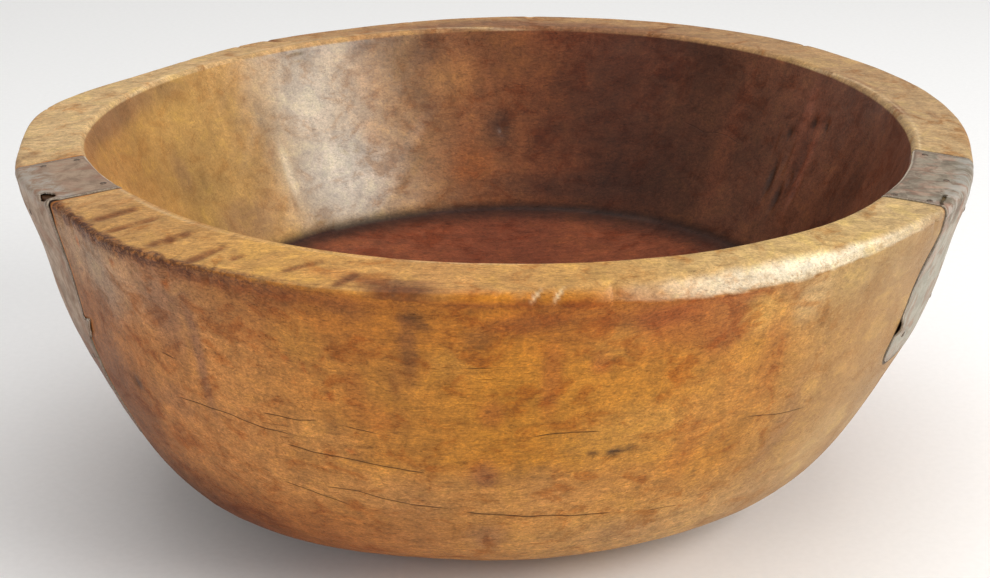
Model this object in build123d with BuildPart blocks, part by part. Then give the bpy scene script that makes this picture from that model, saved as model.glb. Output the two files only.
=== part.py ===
"""A round bowl carved from one block of wood, with two sheet-metal straps let into its rim.

The origin is under the middle of the base, +Z is up and +X runs along the grain of the wood.
The right strap is on the +X side and the left strap on the -X side, both towards -Y.
"""

from build123d import *
import math
import os

# ---- Driving dimensions, millimetres ----
HEIGHT = 201.0  # base to the inner edge of the rim
RIM_RADIUS = 254.0  # mean outer radius at the top of the wall
MOUTH_RADIUS = 221.0  # mean inner radius at the rim
FLOOR_RADIUS = 168.0  # where the inner wall meets the floor
FLOOR_HEIGHT = 95.0  # height of that corner above the base
FLOOR_DISH = 11.0  # how much lower the middle of the floor is
WALL_FULLNESS = 0.56  # share of its lean that the inner wall has gained half-way up
DISH_RING = (0.6, 0.8)  # the floor at this share of its radius has this share of the dish's depth
DISH_FLAT = 0.2  # share of the floor's radius that is level in the middle
CROSS_GRAIN = 0.97  # width across the grain over length along it, after the wood shrank
LEAN = -4.0  # how far the foot stands along X from under the middle of the mouth

RIM_FALL = 3.0  # drop of the rim's top from its inner edge to its worn outer corner
CORNER_WIDTH = 6.0  # worn outer corner of the rim, measured inwards
CORNER_DROP = 6.0  # and downwards

# The carver's outline is out of round: (number of lobes, height of a lobe, angle of a lobe).
OUTER_LOBES = [(2, 7.5, 40.0), (3, 2.0, -40.0), (4, 2.3, 61.0)]
MOUTH_LOBES = [(2, 1.5, 42.0), (3, 4.0, -55.0)]
# Where it is cut flatter than its lobes or, with a depth below zero, left fuller: (angle, half width,
# depth, height where that starts, height where it has its full depth).
OUTER_FLATS = [
    (-147.0, 16.0, 8.5, 82.0, 192.0),
    (-126.0, 24.0, 3.0, 82.0, 192.0),
    (-106.0, 26.0, 4.0, 70.0, 20.0),
    (-143.0, 20.0, -2.2, 70.0, 20.0),
    (-30.0, 50.0, 0.9, 0.0, 54.0),
    (-8.0, 26.0, 4.0, 150.0, 192.0),
    (148.0, 16.0, 7.0, 82.0, 192.0),
    (173.0, 17.0, -6.0, 82.0, 192.0),
]
MOUTH_FLATS = [(-146.0, 30.0, 4.2, 95.0, 201.0)]
OUTLINE_POINTS = 48

# Flank of the bowl: (height, outer radius), from the edge of the flat base to the rim's corner.
FLANK = [
    (0.0, 107.0),
    (9.0, 141.0),
    (26.0, 176.0),
    (54.0, 201.0),
    (82.0, 216.0),
    (110.0, 229.5),
    (138.0, 239.0),
    (165.0, 246.3),
    (HEIGHT - RIM_FALL - CORNER_DROP, RIM_RADIUS),
]

# Straps: sheet bent over the rim and down the wall, let in flush with the wood. "middle" is where
# the strap crosses the mouth and "run" is the direction that it takes outwards, both in degrees.
# "bottom" is the height of its lower end and "corner" rounds that end.
SHEET = 1.2
LEFT_STRAP = {"width": 57.0, "middle": -157.0, "run": -157.0, "bottom": 64.0, "corner": 10.0}
RIGHT_STRAP = {"width": 78.0, "middle": -23.6, "run": -15.0, "bottom": 110.0, "corner": 12.0}
TONGUE_LENGTH = 10.0  # small tab standing out of the left strap's near edge
TONGUE_HEIGHT = 9.0
TONGUE_MIDDLE = 129.5  # height of its middle above the base
RELIEF_HOLE = 7.6  # round hole that eased the left strap's bend at its near corner
RELIEF_PLACE = (20.0, 30.0)  # across the strap, outwards from the mouth
RELIEF_DEPTH = 14.0  # length of the cut that makes it, centred on the skin
SLIT_WIDTH = 1.6  # tear in from the right strap's near edge, just inside its bend
SLIT_LENGTH = 14.0
SLIT_OUT = 19.5

# Tacks: small domed heads on round shanks. A rim tack stands at (across the strap, outwards from
# the mouth) and a wall tack at (across the strap, height above the base).
TACK_HEAD = 3.6
TACK_DOME = 0.7
TACK_SEAT = 0.7  # how far the cone under the head sinks into the sheet
TACK_SHANK = 1.6
TACK_LENGTH = 14.0
TACK_POINT = 3.0
DOME_SHOULDER = (0.28, 0.75)  # the dome at this share of the head's width has this share of its height
LEFT_RIM_TACKS = [(19.0, 3.0), (-23.5, 7.0), (-24.0, 24.0)]
LEFT_WALL_TACKS = [(-6.0, 182.0), (19.0, 110.0), (-18.0, 82.0)]
RIGHT_RIM_TACKS = [(-36.5, -4.0), (-36.8, 13.0), (-2.5, 19.0), (33.0, 6.0)]
RIGHT_WALL_TACKS = [(12.0, 180.0), (-26.0, 124.0), (27.0, 126.0)]

# ---- Cutting shapes ----
ABOVE = 12.0  # how far they reach past the rim
REACH = 300.0  # well outside the bowl
CROWN_RADIUS = 0.8 * MOUTH_RADIUS  # where the rim's cone ends, inside the mouth
BAND_START = 0.4 * MOUTH_RADIUS  # how far inside the mouth a strap's block starts


# ---- Outlines ----
def lobed_radius(radius, lobes, angle, full_radius):
    """Radius of an out-of-round outline at an angle; the lobes fade with the radius."""
    fade = radius / full_radius
    waves = sum(h * math.cos(n * math.radians(angle - peak)) for n, h, peak in lobes)
    return radius + fade * waves


def flattened_by(flats, angle, height):
    """How much the flats take off the outline at an angle and a height."""
    total = 0.0
    for middle, half_width, depth, start, full in flats:
        away = abs((angle - middle + 180.0) % 360.0 - 180.0) / half_width
        share = min(1.0, max(0.0, (height - start) / (full - start)))
        if away < 1.0:
            total += depth * share * 0.5 * (1.0 + math.cos(math.pi * away))
    return total


def outline_points(height, radius, lobes, full_radius, flats, shift):
    """Points of a closed outline, in the section's own plane."""
    points = []
    for step in range(OUTLINE_POINTS):
        angle = 360.0 * step / OUTLINE_POINTS
        reach = lobed_radius(radius, lobes, angle, full_radius) - flattened_by(flats, angle, height)
        x = shift + reach * math.cos(math.radians(angle))
        y = CROSS_GRAIN * reach * math.sin(math.radians(angle))
        points.append((x, y))
    return points


def section(height, radius, lobes, full_radius, flats, shift=0.0):
    """One level section of the bowl as a face."""
    outline = outline_points(height, radius, lobes, full_radius, flats, shift)
    with BuildSketch(Plane.XY.offset(height)) as level:
        with BuildLine():
            Spline(*outline, periodic=True)
        make_face()
    return level.sketch


def outer_section(height, radius):
    """Section of the outside, which leans from the foot up to the rim."""
    lean = LEAN * max(0.0, 1.0 - height / FLANK[-1][0])
    return section(height, radius, OUTER_LOBES, RIM_RADIUS, OUTER_FLATS, lean)


def mouth_section(height, radius):
    """Section of the hollow."""
    return section(height, radius, MOUTH_LOBES, MOUTH_RADIUS, MOUTH_FLATS)


def outer_block(inset):
    """The bowl's outside as a filled block, drawn in by inset on its flank and its rim."""
    corner_top = HEIGHT - RIM_FALL
    with BuildPart() as block:
        loft([outer_section(height, radius - inset) for height, radius in FLANK])
        wall_top = outer_section(FLANK[-1][0], RIM_RADIUS - inset)
        corner = outer_section(corner_top - inset, RIM_RADIUS - CORNER_WIDTH - inset)
        loft([wall_top, corner], ruled=True)
        # The rim's cone is carried past the mouth, because the hollow is cut out afterwards.
        rim_slope = RIM_FALL / (RIM_RADIUS - CORNER_WIDTH - MOUTH_RADIUS)
        crown_rise = rim_slope * (RIM_RADIUS - CORNER_WIDTH - CROWN_RADIUS)
        crown = mouth_section(corner_top - inset + crown_rise, CROWN_RADIUS)
        loft([corner, crown], ruled=True)
    return block.part


# ---- Bowl ----
blank = outer_block(0.0)

with BuildPart() as hollow:
    # Leaning inner wall, a little fuller half-way down.
    wall_rise = HEIGHT - FLOOR_HEIGHT
    wall_lean = MOUTH_RADIUS - FLOOR_RADIUS
    half_way = mouth_section(FLOOR_HEIGHT + 0.5 * wall_rise, FLOOR_RADIUS + WALL_FULLNESS * wall_lean)
    floor_edge = mouth_section(FLOOR_HEIGHT, FLOOR_RADIUS)
    mouth = mouth_section(HEIGHT, MOUTH_RADIUS)
    loft([floor_edge, half_way, mouth])
    above_mouth = mouth_section(HEIGHT + ABOVE, MOUTH_RADIUS + ABOVE * wall_lean / wall_rise)
    loft([mouth, above_mouth], ruled=True)
    # Dished floor.
    ring_share, dish_share = DISH_RING
    floor_ring = mouth_section(FLOOR_HEIGHT - dish_share * FLOOR_DISH, ring_share * FLOOR_RADIUS)
    floor_middle = mouth_section(FLOOR_HEIGHT - FLOOR_DISH, DISH_FLAT * FLOOR_RADIUS)
    loft([floor_edge, floor_ring, floor_middle])


# ---- Straps ----
def strap_plane(strap):
    """Upright plane across a strap: local X along its width, normal outwards along its run."""
    middle = math.radians(strap["middle"])
    run = math.radians(strap["run"])
    start = (
        MOUTH_RADIUS * math.cos(middle),
        CROSS_GRAIN * MOUTH_RADIUS * math.sin(middle),
        0.0,
    )
    outwards = (math.cos(run), math.sin(run), 0.0)
    across = (-math.sin(run), math.cos(run), 0.0)
    return Plane(origin=start, x_dir=across, z_dir=outwards)


def strap_band(strap):
    """Block that a strap is cut out of: the strap's width and length, with rounded lower ends."""
    plane = strap_plane(strap)
    tall = HEIGHT + ABOVE - strap["bottom"]
    with BuildPart() as band:
        with BuildSketch(plane.offset(-BAND_START)) as face:
            with Locations((0.0, strap["bottom"] + 0.5 * tall)):
                Rectangle(strap["width"], tall)
            fillet(face.vertices().group_by(Axis.Z)[0], strap["corner"])
        extrude(amount=REACH - MOUTH_RADIUS + BAND_START)
    return band.part


def sheet_between(block, core, strap_block, bowl_hollow):
    """Cut a strap's block down to the skin of the bowl, one sheet thick, outside its hollow."""
    with BuildPart() as sheet:
        add(strap_block)
        add(block, mode=Mode.INTERSECT)
        add(core, mode=Mode.SUBTRACT)
        add(bowl_hollow, mode=Mode.SUBTRACT)
    return sheet.part


sheet_core = outer_block(SHEET)
left_plane = strap_plane(LEFT_STRAP)
right_plane = strap_plane(RIGHT_STRAP)

with BuildPart() as left_block:
    add(strap_band(LEFT_STRAP))
    with BuildSketch(left_plane):
        with Locations((0.5 * LEFT_STRAP["width"], TONGUE_MIDDLE)):
            Rectangle(2.0 * TONGUE_LENGTH, TONGUE_HEIGHT)
    extrude(amount=REACH - MOUTH_RADIUS)
left_sheet = sheet_between(blank, sheet_core, left_block.part, hollow.part)
right_sheet = sheet_between(blank, sheet_core, strap_band(RIGHT_STRAP), hollow.part)


def over_rim(plane, place):
    """Point above the rim, at (across, outwards) from where a strap crosses the mouth."""
    across, outwards = place
    level = plane.origin + plane.x_dir * across + plane.z_dir * outwards
    return Vector(level.X, level.Y, HEIGHT + ABOVE)


# ---- Tacks ----
with BuildPart() as tack:
    with BuildSketch(Plane.XZ):
        with BuildLine():
            ThreePointArc(
                (0.0, TACK_DOME),
                (DOME_SHOULDER[0] * TACK_HEAD, DOME_SHOULDER[1] * TACK_DOME),
                (0.5 * TACK_HEAD, 0.0),
            )
            Polyline(
                (0.5 * TACK_HEAD, 0.0),
                (0.5 * TACK_SHANK, -TACK_SEAT),
                (0.5 * TACK_SHANK, TACK_POINT - TACK_LENGTH),
                (0.0, -TACK_LENGTH),
                (0.0, TACK_DOME),
            )
        make_face()
    revolve(axis=Axis.Z)


def tack_seats(plane, rim_places, wall_places):
    """Planes on the bowl's skin, facing outwards, one for each tack: rim first, then wall."""
    rim_seats = []
    for place in rim_places:
        point, normal = blank.find_intersection_points(Axis(over_rim(plane, place), (0, 0, -1)))[0]
        rim_seats.append(Plane(origin=point, z_dir=normal))
    wall_seats = []
    for across, height in wall_places:
        start = plane.origin + plane.x_dir * across + plane.z_dir * REACH + Vector(0, 0, height)
        point, normal = blank.find_intersection_points(Axis(start, -plane.z_dir))[0]
        wall_seats.append(Plane(origin=point, z_dir=normal))
    return rim_seats, wall_seats


def tacks_at(seats):
    """A group of separate tacks, one driven in at each seat."""
    with BuildPart() as group:
        with Locations(*seats):
            add(tack.part)
    return group


left_rim_seats, left_wall_seats = tack_seats(left_plane, LEFT_RIM_TACKS, LEFT_WALL_TACKS)
right_rim_seats, right_wall_seats = tack_seats(right_plane, RIGHT_RIM_TACKS, RIGHT_WALL_TACKS)
left_rim_tacks = tacks_at(left_rim_seats)
left_wall_tacks = tacks_at(left_wall_seats)
right_rim_tacks = tacks_at(right_rim_seats)
right_wall_tacks = tacks_at(right_wall_seats)
all_tacks = (left_rim_tacks, left_wall_tacks, right_rim_tacks, right_wall_tacks)

# ---- Finished pieces ----
with BuildPart() as bowl:
    add(blank)
    add(hollow.part, mode=Mode.SUBTRACT)
    add(left_sheet, mode=Mode.SUBTRACT)
    add(right_sheet, mode=Mode.SUBTRACT)
    for group in all_tacks:
        add(group.part, mode=Mode.SUBTRACT)

with BuildPart() as left_strap:
    add(left_sheet)
    with Locations(*tack_seats(left_plane, [RELIEF_PLACE], [])[0]):
        Cylinder(0.5 * RELIEF_HOLE, RELIEF_DEPTH, mode=Mode.SUBTRACT)
    add(left_rim_tacks.part, mode=Mode.SUBTRACT)
    add(left_wall_tacks.part, mode=Mode.SUBTRACT)

slit_middle = (0.5 * (SLIT_LENGTH - RIGHT_STRAP["width"]), SLIT_OUT)
slit_turn = Plane(over_rim(right_plane, slit_middle), x_dir=right_plane.x_dir)
with BuildPart() as right_strap:
    add(right_sheet)
    with Locations(slit_turn):
        Box(SLIT_LENGTH, SLIT_WIDTH, 4.0 * ABOVE, mode=Mode.SUBTRACT)
    add(right_rim_tacks.part, mode=Mode.SUBTRACT)
    add(right_wall_tacks.part, mode=Mode.SUBTRACT)

pieces = {
    "bowl": bowl,
    "left_strap": left_strap,
    "right_strap": right_strap,
    "left_rim_tacks": left_rim_tacks,
    "left_wall_tacks": left_wall_tacks,
    "right_rim_tacks": right_rim_tacks,
    "right_wall_tacks": right_wall_tacks,
}
os.makedirs("parts", exist_ok=True)
for name, piece in pieces.items():
    piece.part.label = name
    export_step(piece.part, f"parts/{name}.step")
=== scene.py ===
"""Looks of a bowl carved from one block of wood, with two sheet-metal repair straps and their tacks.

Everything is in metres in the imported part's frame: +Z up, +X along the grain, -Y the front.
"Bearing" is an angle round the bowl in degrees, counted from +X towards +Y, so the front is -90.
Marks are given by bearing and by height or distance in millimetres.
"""

import math

import bpy
import numpy as np
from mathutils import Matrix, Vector
from mathutils.bvhtree import BVHTree


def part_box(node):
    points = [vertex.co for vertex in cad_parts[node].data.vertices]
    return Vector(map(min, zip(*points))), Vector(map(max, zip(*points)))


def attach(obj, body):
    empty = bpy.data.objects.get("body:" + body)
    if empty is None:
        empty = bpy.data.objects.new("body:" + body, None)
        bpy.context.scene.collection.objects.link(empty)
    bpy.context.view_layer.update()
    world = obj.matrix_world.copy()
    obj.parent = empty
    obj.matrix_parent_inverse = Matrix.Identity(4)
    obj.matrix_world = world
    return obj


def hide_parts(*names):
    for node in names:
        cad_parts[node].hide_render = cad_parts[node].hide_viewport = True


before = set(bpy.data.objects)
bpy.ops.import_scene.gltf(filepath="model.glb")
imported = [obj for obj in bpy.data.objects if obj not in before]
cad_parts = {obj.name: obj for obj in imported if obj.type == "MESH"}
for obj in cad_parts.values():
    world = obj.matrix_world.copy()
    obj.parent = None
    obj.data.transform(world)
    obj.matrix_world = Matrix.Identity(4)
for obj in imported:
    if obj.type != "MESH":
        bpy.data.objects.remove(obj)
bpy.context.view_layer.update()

MM = 0.001
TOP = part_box("bowl")[1].z - 0.6 * MM  # height of the mouth's edge

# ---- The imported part's own outline, needed to place marks on it ----
CROSS_GRAIN = 0.97  # the bowl is this much narrower across the grain
LEAN = -4.0 * MM  # the foot's offset along X
MOUTH_RADIUS = 221.0 * MM
RIM_WIDTH = 33.0 * MM
FLOOR_EDGE = 95.0 * MM  # height where the inner wall meets the floor

# ---- Mesh rows of the bowl, from the floor's middle over the rim to the base's middle ----
COLUMNS = 1008
FLOOR_ROWS = 46
WALL_ROWS = 76
LIP_ROWS = 5
RIM_ROWS = 22
CORNER_ROWS = 13
FLANK_ROWS = 122
BASE_ROWS = 20
EDGE_ROW = FLOOR_ROWS + WALL_ROWS + LIP_ROWS + RIM_ROWS  # first row of the rim's outer corner
LIP_ROUND = 2.2 * MM
FLOOR, WALL, RIM, CORNER, FLANK = range(5)
LEVEL_ENOUGH = 0.78  # the inside counts as floor where its normal's upward part is more than this
FACET_AT, FACET_HALF, FACET_FLAT = -66.0, 42.0, 0.75  # where the worn corner is a facet, and how flat it is

# How widely the rim's outer corner is worn, in mm, by bearing.
CORNER_WEAR = {
    -170: 5.0, -150: 3.0, -135: 2.8, -120: 2.6, -108: 3.2, -97: 7.0, -82: 9.0, -68: 13.0, -56: 14.0,
    -44: 9.0, -34: 7.0, -10: 8.0, 20: 6.0, 60: 5.0, 100: 4.0, 150: 5.0,
}

# How strongly that corner has turned amber, by bearing.
AMBER_EDGE = {
    -150: 0.0, -130: 0.1, -122: 0.9, -110: 0.9, -104: 0.3, -98: 0.3, -93: 0.9, -84: 0.8, -76: 0.2, -66: 0.0,
    150: 0.0,
}

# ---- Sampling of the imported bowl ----
SAMPLE_COLUMNS = 144
SAMPLE_ANGLES = 170
INSIDE_DIPS, OUTSIDE_DIPS = (90.0, 0.8), (2.4, 90.0)  # rays from the mouth's middle, degrees below level
HARMONICS = 16

# ---- Straps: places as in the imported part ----
STRAPS = {
    "left_strap": {
        "width": 57.0, "middle": -157.0, "run": -157.0, "bottom": 64.0, "corner": 10.0, "near": 1,
        "length": 186.0,
    },
    "right_strap": {
        "width": 78.0, "middle": -23.6, "run": -15.0, "bottom": 110.0, "corner": 12.0, "near": -1,
        "length": 150.0,
    },
}
SHEET = 0.9 * MM
SHEET_PROUD = 0.25 * MM  # how far a strap stands out of the wood round it
REBATE = 1.0 * MM
SHEET_CELL = 0.8  # size of the sheet's mesh cells, mm
TONGUE = (124.8, 134.2, 10.0)  # tab on the left strap's near edge: lowest, highest and how far it reaches
SNIP = (21.6, 30.0, 3.9, 1.4)  # hole in the left strap: across, out, radius and how much longer it is
SLIT = (18.8, 15.0)  # tear in the right strap: out at its near edge, and how long it is
LIFTED = (133.0, 7.0)  # the right strap's near edge stands off the wood round this height
FOUND_AROUND = 32.0  # degrees of skin on either side of a strap's middle that it may lie on
FAN = (126.0, -106.1, -0.75)  # angles of the rays that find the skin under a strap, from the mouth down
HUB_OUT, HUB_DEPTH = 14.0 * MM, 22.0 * MM  # where those rays aim: out from the mouth and below the top


# ================ numbers
def smoothstep(low, high, value):
    t = np.clip((value - low) / (high - low), 0.0, 1.0)
    return t * t * (3.0 - 2.0 * t)


def hump(value, middle, half_width):
    """1 at the middle, falling smoothly to 0 at the half width."""
    return 1.0 - smoothstep(0.0, 1.0, np.abs(value - middle) / half_width)


def plateau(value, rise, fall):
    """Rises smoothly from 0 to 1 over the first span and falls back over the second one."""
    return smoothstep(*rise, value) * (1.0 - smoothstep(*fall, value))


def turn(angle, middle):
    """Signed difference of two angles in degrees, from -180 to 180."""
    return (angle - middle + 180.0) % 360.0 - 180.0


def lattice(cells, seed):
    """A repeatable number from -1 to 1 for each whole-number cell."""
    mix = cells[..., 0] * 73856093 ^ cells[..., 1] * 19349663 ^ cells[..., 2] * 83492791
    mix = (mix ^ (seed * 2654435761)) & 0xFFFFFFFF
    mix = ((mix ^ (mix >> 15)) * 2246822519) & 0xFFFFFFFF
    mix = ((mix ^ (mix >> 13)) * 3266489917) & 0xFFFFFFFF
    return ((mix ^ (mix >> 16)) & 0xFFFFFF) / float(0x7FFFFF) - 1.0


def value_noise(points, seed):
    """Smooth noise from -1 to 1 with cells of size 1."""
    base = np.floor(points).astype(np.int64)
    part = points - base
    part = part * part * (3.0 - 2.0 * part)
    total = 0.0
    for corner in range(8):
        step = np.array([corner & 1, (corner >> 1) & 1, corner >> 2])
        weight = np.prod(np.where(step, part, 1.0 - part), axis=-1)
        total = total + weight * lattice(base + step, seed)
    return total


def fractal(points, size, seed, octaves=2, stretch=(1.0, 1.0, 1.0)):
    """Layered noise. size is the largest feature in metres and stretch lengthens it along an axis."""
    scaled = points / (size * np.array(stretch))
    total, strength, reach = 0.0, 1.0, 0.0
    for octave in range(octaves):
        total = total + strength * value_noise(scaled * 2.0**octave, seed + 17 * octave)
        reach += strength
        strength *= 0.5
    return total / reach


def linear(colour):
    """sRGB numbers from 0 to 255 as linear ones from 0 to 1."""
    c = np.array(colour, float) / 255.0
    return np.where(c <= 0.04045, c / 12.92, ((c + 0.055) / 1.055) ** 2.4)


# ================ the bowl's surface
def dipping(around, dip):
    """Direction at a bearing and an angle below level, both in radians."""
    level = math.cos(dip)
    return Vector((level * math.cos(around), level * math.sin(around), -math.sin(dip)))


def packed_sections():
    """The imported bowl's inside and outside, as a line of (radius, height) for each column round it."""
    corners, faces = [], []
    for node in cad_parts.values():
        first = len(corners)
        corners += [v.co.copy() for v in node.data.vertices]
        faces += [[first + k for k in p.vertices] for p in node.data.polygons]
    tree = BVHTree.FromPolygons(corners, faces)
    pole = Vector((0.0, 0.0, TOP))
    far = 1.0
    dips_in, dips_out = (np.radians(np.linspace(*d, SAMPLE_ANGLES)) for d in (INSIDE_DIPS, OUTSIDE_DIPS))
    inside = np.zeros((SAMPLE_COLUMNS, SAMPLE_ANGLES))
    outside = np.zeros_like(inside)
    for column in range(SAMPLE_COLUMNS):
        around = 2.0 * math.pi * column / SAMPLE_COLUMNS - math.pi
        for k in range(SAMPLE_ANGLES):
            inside[column, k] = tree.ray_cast(pole, dipping(around, dips_in[k]))[3]
            ray = dipping(around, dips_out[k])
            outside[column, k] = far - tree.ray_cast(pole + ray * far, -ray)[3]
    sections = []
    for reach, dips in ((inside, dips_in), (outside, dips_out)):
        waves = np.fft.rfft(reach, axis=0)
        waves[HARMONICS + 1 :] = 0.0  # leaves out facets, tack heads and the hole in the strap
        reach = np.fft.irfft(waves, n=SAMPLE_COLUMNS, axis=0)
        sections.append(np.stack([reach * np.cos(dips), TOP - reach * np.sin(dips)], -1))
    return sections


def spread(sections, count, start=None):
    """Evenly spaced points along each column's section, from a starting length to its end."""
    new = np.zeros((len(sections), count, 2))
    for column, line in enumerate(sections):
        length = np.concatenate([[0.0], np.cumsum(np.hypot(*np.diff(line, axis=0).T))])
        at = np.linspace(0.0 if start is None else start[column], length[-1], count)
        new[column] = np.stack([np.interp(at, length, line[:, k]) for k in range(2)], -1)
    return new


def more_columns(sections):
    """The same closed curves with as many columns as the mesh has."""
    waves = np.fft.rfft(sections, axis=0)
    return np.fft.irfft(waves, n=COLUMNS, axis=0) * (COLUMNS / len(sections))


def bend(start, control, end, count):
    """Points of a curve from start to end that is pulled to the control point, ends left out."""
    t = (np.arange(1, count + 1) / (count + 1.0))[None, :, None]
    start, control, end = (p[:, None, :] for p in (start, control, end))
    return (1 - t) ** 2 * start + 2 * t * (1 - t) * control + t**2 * end


def round_about(stops, bearing):
    """Number between listed stops round the bowl."""
    angles = sorted(stops)
    return np.interp(bearing, angles, [stops[a] for a in angles], period=360.0)


def rim_fall(angle):
    """How far the rim drops from the mouth to its outer corner."""
    fall = 3.0 + 1.4 * hump(turn(angle, -66.0), 0.0, 40.0) - 1.6 * hump(turn(angle, 90.0), 0.0, 80.0)
    return (fall - 0.8 * hump(turn(angle, -128.0), 0.0, 22.0)) * MM


def slope(sections, one, other):
    """How much the radius grows with height between two points of each section."""
    change = sections[:, one] - sections[:, other]
    return change[:, 0] / change[:, 1]


def bowl_grid():
    """(Radius, height) and zone of the clean bowl's mesh, by column and row."""
    inner, outer = packed_sections()
    inner = more_columns(spread(inner, FLOOR_ROWS + WALL_ROWS))
    outer = more_columns(spread(outer, 2 * (FLANK_ROWS + BASE_ROWS)))
    angle = column_angles()
    # Both surfaces run on straight to the mouth and to the rim's sharp corner.
    mouth_r = inner[:, -1, 0] + slope(inner, -1, -6) * (TOP - inner[:, -1, 1])
    mouth = np.stack([mouth_r, np.full(COLUMNS, TOP)], -1)
    corner_z = TOP - rim_fall(angle)
    corner = np.stack([outer[:, 0, 0] + slope(outer, 0, 8) * (corner_z - outer[:, 0, 1]), corner_z], -1)
    wear = round_about(CORNER_WEAR, angle)[:, None] * MM
    inwards = (mouth - corner) / np.linalg.norm(mouth - corner, axis=1)[:, None]
    rim_start = mouth - inwards * LIP_ROUND
    rim_end = corner + inwards * 0.7 * wear
    outer = np.concatenate([corner[:, None], outer], 1)
    outer = spread(outer, FLANK_ROWS + BASE_ROWS, start=0.8 * wear[:, 0])
    t = np.linspace(0.0, 1.0, RIM_ROWS)[None, :, None]
    rim = rim_start[:, None] * (1 - t) + rim_end[:, None] * t
    worn = bend(rim_end, corner, outer[:, 0], CORNER_ROWS)
    flat = bend(rim_end, 0.5 * (rim_end + outer[:, 0]), outer[:, 0], CORNER_ROWS)
    facet = FACET_FLAT * hump(turn(angle, FACET_AT), 0.0, FACET_HALF)[:, None, None]
    lip = bend(inner[:, -1], mouth, rim_start, LIP_ROWS)
    sections = np.concatenate([inner, lip, rim, worn * (1 - facet) + flat * facet, outer], 1)
    sections[:, (0, -1), 0] = 0.0
    counts = (FLOOR_ROWS, WALL_ROWS, LIP_ROWS + RIM_ROWS, CORNER_ROWS, FLANK_ROWS + BASE_ROWS)
    return sections, np.repeat(np.arange(len(counts)), counts)


def column_angles():
    return np.arange(COLUMNS) * 360.0 / COLUMNS - 180.0


def grid_normals(points):
    """Outward normals of the bowl's grid of points."""
    around = np.roll(points, -1, axis=0) - np.roll(points, 1, axis=0)
    along = np.gradient(points, axis=1)
    normal = np.cross(along, around)
    normal[:, 0] = (0.0, 0.0, 1.0)
    normal[:, -1] = (0.0, 0.0, -1.0)
    return normal / np.maximum(np.linalg.norm(normal, axis=-1, keepdims=True), 1e-12)


class Skin:
    """The bowl's grid with the coordinates that the listed marks use."""

    def __init__(self):
        sections, row_zone = bowl_grid()
        radius, angle = sections[..., 0], np.radians(column_angles())[:, None]
        self.points = np.stack([radius * np.cos(angle), radius * np.sin(angle), sections[..., 1]], -1)
        self.normals = grid_normals(self.points)
        level = self.normals[..., 2] > LEVEL_ENOUGH
        self.zone = np.array(np.broadcast_to(row_zone, radius.shape))
        inner = self.zone <= WALL
        self.zone[inner] = np.where(level[inner], FLOOR, WALL)
        self.refresh()

    def refresh(self):
        x, y, z = (self.points[..., k] for k in range(3))
        outside = self.zone >= CORNER
        shift = np.where(outside, LEAN * np.clip(1.0 - z / (0.955 * TOP), 0.0, 1.0), 0.0)
        self.bearing = np.degrees(np.arctan2(y / CROSS_GRAIN, x - shift))
        self.round = np.hypot(x - shift, y / CROSS_GRAIN)
        self.height = z / MM
        self.out = (self.round - MOUTH_RADIUS) / MM

    def on(self, *zones):
        return np.isin(self.zone, zones)

    def beside(self, bearing):
        """Distance along the skin from a bearing, in millimetres."""
        return np.radians(turn(self.bearing, bearing)) * self.round / MM

    def towards(self, bearing, half_width):
        """1 at a bearing, falling smoothly to 0 at so many degrees from it."""
        return hump(turn(self.bearing, bearing), 0.0, half_width)

    def push(self, amount):
        """Moves the skin outwards along its normals, by an amount in metres."""
        self.points = self.points + self.normals * amount[..., None]


# ================ marks
# Splits of the flank: width in mm and points of (bearing, height in mm).
CRACKS = [
    (0.33, [(-130, 121), (-122, 118.5), (-118, 115), (-114, 113.5)]),
    (0.30, [(-118, 124), (-113, 123.5), (-110.2, 126)]), (0.27, [(-108.5, 124), (-103.5, 120)]),
    (0.36, [(-116, 107), (-109, 104), (-104, 100), (-98.5, 96)]),
    (0.36, [(-87, 118.5), (-82, 120), (-78, 118.5)]), (0.30, [(-118.5, 81.5), (-114, 77), (-109, 70)]),
    (0.33, [(-112.5, 82), (-108, 81.5), (-105, 77.7), (-100, 74), (-96, 72)]),
    (0.42, [(-95, 70), (-87, 65.7), (-80, 63), (-74, 61.7)]), (0.21, [(-69.5, 60), (-63, 58.6)]),
    (0.24, [(-59.5, 113), (-54, 109), (-48.5, 107)]), (0.30, [(-131, 145), (-127.5, 143)]),
    (0.27, [(-95, 158.5), (-90.5, 158)]), (0.30, [(52, 92), (61, 95), (71, 92), (78, 93)]),
    (0.36, [(84, 128), (93, 125), (101, 127), (112, 122)]), (0.24, [(96, 64), (104, 67), (109, 66)]),
    (0.27, [(128, 102), (134, 99), (139, 100)]), (0.30, [(20, 71), (31, 74), (38, 72)]),
]

# The same on the inner wall.
WALL_CRACKS = [
    (0.14, [(37, 166), (40, 161), (42.5, 152)]), (0.16, [(43, 147), (47, 150), (52, 149), (57, 153)]),
    (0.12, [(118, 133), (121, 138.5), (124, 141)]),
]

# Strokes of a blade across the rim: (bearing, out in mm) of both ends, half width, depth in mm.
STROKES = [
    ((-140.8, 31), (-140.5, 3), 3.4, 0.55), ((-136.7, 35), (-135.9, 5), 2.6, 0.8),
    ((-129.8, 34), (-128.8, 7), 3.3, 0.9), ((-123.4, 38), (-123.0, 11), 2.9, 0.9),
    ((-120.1, 25), (-119.3, 17), 2.0, 0.7), ((-113.4, 28), (-110.3, 8), 2.8, 0.35),
    ((-107.0, 34), (-105.5, 17), 3.0, 0.35), ((64.0, 30), (66.0, 12), 2.8, 0.6),
    ((128.0, 31), (126.0, 10), 3.2, 0.6), ((133.0, 32), (132.0, 16), 2.4, 0.6),
]

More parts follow.
